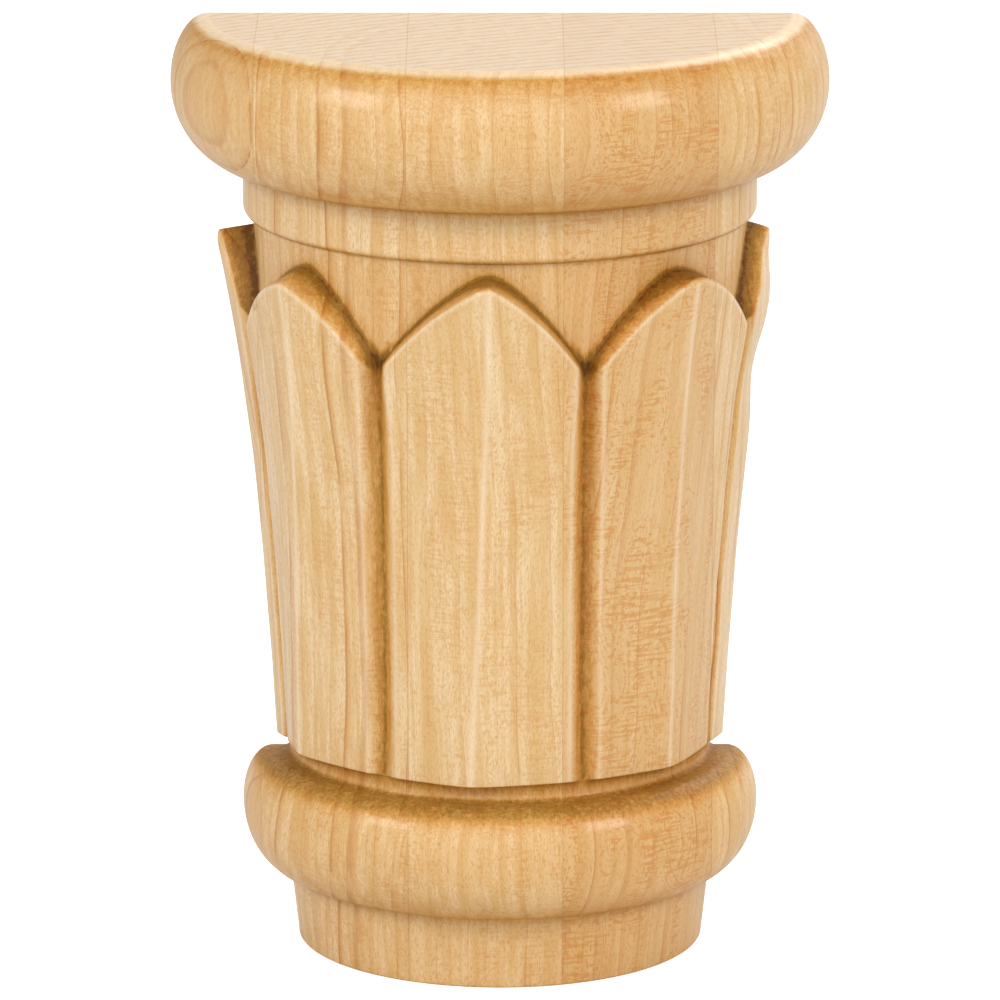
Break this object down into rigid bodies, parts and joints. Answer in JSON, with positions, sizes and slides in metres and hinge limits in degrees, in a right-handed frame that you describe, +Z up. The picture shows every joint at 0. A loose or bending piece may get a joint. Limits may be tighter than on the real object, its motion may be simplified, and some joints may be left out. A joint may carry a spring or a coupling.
{
  "type": "half-round capital moulding",
  "caption": "Half-round carved maple capital for a half column or pilaster: torus mouldings above and below a bell of plain pointed leaves, cut flat at the back, top and underside.",
  "frame": {"origin": "on the axis of the half column, at the middle of the underside's straight back edge", "axes": "+Z up along the column's axis, +Y out of the flat back, the rounded front faces -Y, +X to the right of someone who looks at the front"},
  "size_m": [0.127, 0.0635, 0.184],
  "materials": {
    "maple": "clear satin finish over hard maple, with brown growth lines, ray fleck and edge-glued staves"
  },
  "bodies": {
    "root": {"capital": "maple"}
  },
  "joints": []
}
